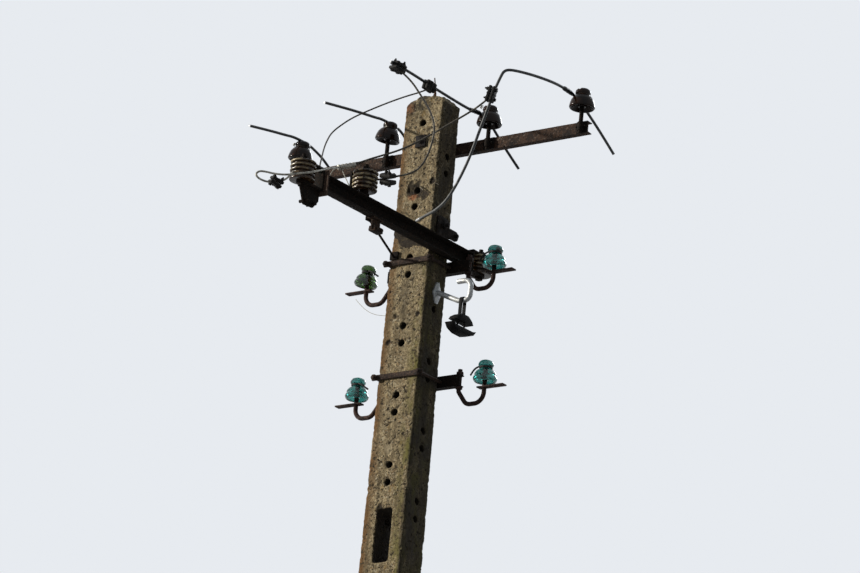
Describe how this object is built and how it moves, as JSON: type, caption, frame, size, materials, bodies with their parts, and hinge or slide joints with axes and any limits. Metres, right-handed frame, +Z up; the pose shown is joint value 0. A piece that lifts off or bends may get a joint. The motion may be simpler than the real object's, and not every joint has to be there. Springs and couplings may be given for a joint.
{
  "type": "concrete utility pole",
  "caption": "Tapered precast concrete utility pole with ladder windows, bolt holes, two steel crossarms, pin, spool and glass insulators, bent hooks and cut stiff conductors.",
  "frame": {"origin": "centre of the pole's foot at ground level", "axes": "+Z up the pole, +X along the upper crossarm, +Y away from the wide face with the loose fittings"},
  "size_m": [1.578, 1.4988, 8.2],
  "materials": {
    "concrete": "weathered, exposed aggregate",
    "rusty_steel": "rusted",
    "dark_steel": "dull, lightly rusted",
    "galvanised": "galvanised",
    "brown_glaze": "glossy brown glaze",
    "olive_glass": "olive green pressed glass",
    "teal_glass": "blue green pressed glass",
    "conductor": "dull stranded metal",
    "black_lead": "weathered covering",
    "black_fitting": "dull black"
  },
  "bodies": {
    "root": {"arm_brace": "dark_steel", "connectors": "black_fitting", "crossarm_bolts": "rusty_steel", "dead_end_bracket": "rusty_steel", "glass_insulator_ll": "teal_glass", "glass_insulator_lr": "teal_glass", "glass_insulator_ul": "olive_glass", "glass_insulator_ur": "teal_glass", "insulator_pin_1": "dark_steel", "insulator_pin_2": "dark_steel", "insulator_pin_3": "dark_steel", "insulator_pin_4": "dark_steel", "jumper_1": "conductor", "jumper_2": "conductor", "jumper_3": "conductor", "lead_1": "black_lead", "lead_2": "black_lead", "lead_3": "black_lead", "lead_4": "black_lead", "left_loop": "conductor", "lower_arm_cleat": "dark_steel", "lower_arm_end_plate": "rusty_steel", "lower_band": "rusty_steel", "lower_crossarm": "dark_steel", "lower_hook_bar": "dark_steel", "pin_insulator_1": "brown_glaze", "pin_insulator_2": "brown_glaze", "pin_insulator_3": "brown_glaze", "pin_insulator_4": "brown_glaze", "pole_shaft": "concrete", "service_hook": "galvanised", "spool_bracket_a": "dark_steel", "spool_bracket_b": "dark_steel", "spool_bracket_c": "rusty_steel", "spool_insulator_a": "brown_glaze", "spool_insulator_b": "brown_glaze", "spool_insulator_c": "brown_glaze", "suspension_clamp": "black_fitting", "swan_hook_ll": "dark_steel", "swan_hook_lr": "dark_steel", "swan_hook_ul": "dark_steel", "swan_hook_ur": "dark_steel", "upper_band": "rusty_steel", "upper_crossarm": "rusty_steel", "upper_hook_bar": "dark_steel"}
  },
  "joints": []
}
